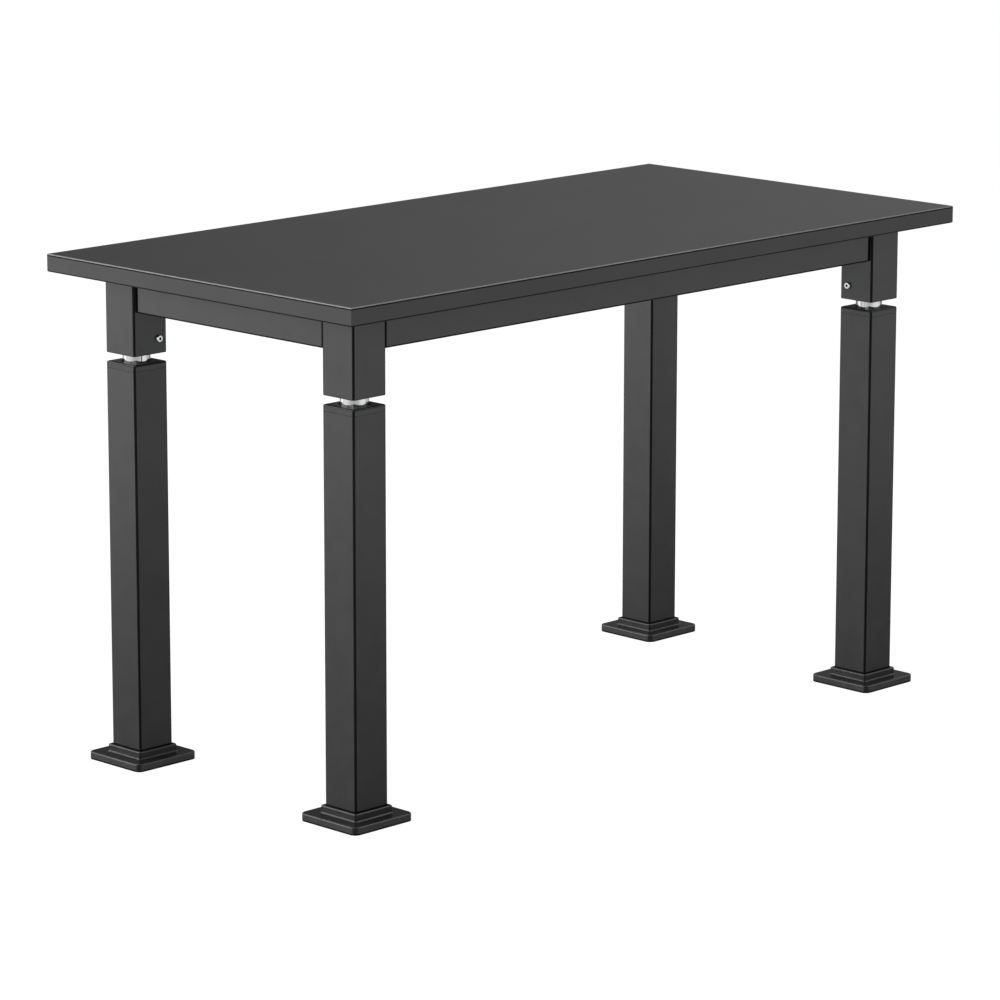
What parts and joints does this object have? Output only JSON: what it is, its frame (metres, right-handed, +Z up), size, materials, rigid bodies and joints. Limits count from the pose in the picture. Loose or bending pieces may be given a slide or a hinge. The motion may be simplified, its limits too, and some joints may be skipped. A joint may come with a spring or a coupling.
{
  "type": "height-adjustable laboratory table",
  "caption": "Laboratory table with a plain rectangular top on a railed frame and square hydraulic lifting legs that telescope on chromed columns over square feet.",
  "frame": {"origin": "on the floor under the middle of the table, at its lowered height", "axes": "+X along the long side to the right, +Y from the front to the back, +Z up"},
  "size_m": [1.2, 0.6, 0.71],
  "materials": {
    "top_laminate": "dark grey laboratory laminate, satin, very fine grain",
    "frame_paint": "dark grey powder coat on steel tube, satin",
    "guide_plastic": "black moulded guide plastic, glossy",
    "foot_plastic": "black moulded foot, semi-gloss",
    "black_moulding": "black housing, matte",
    "pipe_steel": "zinc-plated steel oil pipe",
    "column_chrome": "polished chromed steel tube",
    "rod_steel": "ground steel rod",
    "screw_steel": "bright zinc-plated or stainless screws",
    "head_aluminium": "machined aluminium"
  },
  "bodies": {
    "table_frame": {"tabletop": "top_laminate", "front_rail": "frame_paint", "back_rail": "frame_paint", "left_rail": "frame_paint", "right_rail": "frame_paint", "pump": "black_moulding", "left_front_socket": "frame_paint", "left_front_top_screw": "screw_steel", "left_front_column_head": "head_aluminium", "left_front_end_screw": "screw_steel", "left_front_side_screw": "screw_steel", "left_front_column": "column_chrome", "left_front_glide": "guide_plastic", "left_front_oil_pipe": "pipe_steel", "left_back_socket": "frame_paint", "left_back_top_screw": "screw_steel", "left_back_column_head": "head_aluminium", "left_back_end_screw": "screw_steel", "left_back_side_screw": "screw_steel", "left_back_column": "column_chrome", "left_back_glide": "guide_plastic", "left_back_oil_pipe": "pipe_steel", "right_front_socket": "frame_paint", "right_front_top_screw": "screw_steel", "right_front_column_head": "head_aluminium", "right_front_end_screw": "screw_steel", "right_front_side_screw": "screw_steel", "right_front_column": "column_chrome", "right_front_glide": "guide_plastic", "right_front_oil_pipe": "pipe_steel", "right_back_socket": "frame_paint", "right_back_top_screw": "screw_steel", "right_back_column_head": "head_aluminium", "right_back_end_screw": "screw_steel", "right_back_side_screw": "screw_steel", "right_back_column": "column_chrome", "right_back_glide": "guide_plastic", "right_back_oil_pipe": "pipe_steel"},
    "left_front_lower_leg": {"left_front_leg": "frame_paint", "left_front_guide_cap": "guide_plastic", "left_front_foot": "foot_plastic", "left_front_foot_screw": "screw_steel", "left_front_piston_rod": "rod_steel"},
    "left_back_lower_leg": {"left_back_leg": "frame_paint", "left_back_guide_cap": "guide_plastic", "left_back_foot": "foot_plastic", "left_back_foot_screw": "screw_steel", "left_back_piston_rod": "rod_steel"},
    "right_front_lower_leg": {"right_front_leg": "frame_paint", "right_front_guide_cap": "guide_plastic", "right_front_foot": "foot_plastic", "right_front_foot_screw": "screw_steel", "right_front_piston_rod": "rod_steel"},
    "right_back_lower_leg": {"right_back_leg": "frame_paint", "right_back_guide_cap": "guide_plastic", "right_back_foot": "foot_plastic", "right_back_foot_screw": "screw_steel", "right_back_piston_rod": "rod_steel"}
  },
  "joints": [
    {"name": "left_front_lift", "type": "slide", "parent": "table_frame", "child": "left_front_lower_leg", "axis": [0, 0, -1], "range_m": [0, 0.4]},
    {"name": "left_back_lift", "type": "slide", "parent": "table_frame", "child": "left_back_lower_leg", "axis": [0, 0, -1], "range_m": [0, 0.4]},
    {"name": "right_front_lift", "type": "slide", "parent": "table_frame", "child": "right_front_lower_leg", "axis": [0, 0, -1], "range_m": [0, 0.4]},
    {"name": "right_back_lift", "type": "slide", "parent": "table_frame", "child": "right_back_lower_leg", "axis": [0, 0, -1], "range_m": [0, 0.4]}
  ],
  "couplings": [
    {"joint": "left_back_lift", "follows": "left_front_lift", "ratio": 1},
    {"joint": "right_front_lift", "follows": "left_front_lift", "ratio": 1},
    {"joint": "right_back_lift", "follows": "left_front_lift", "ratio": 1}
  ]
}
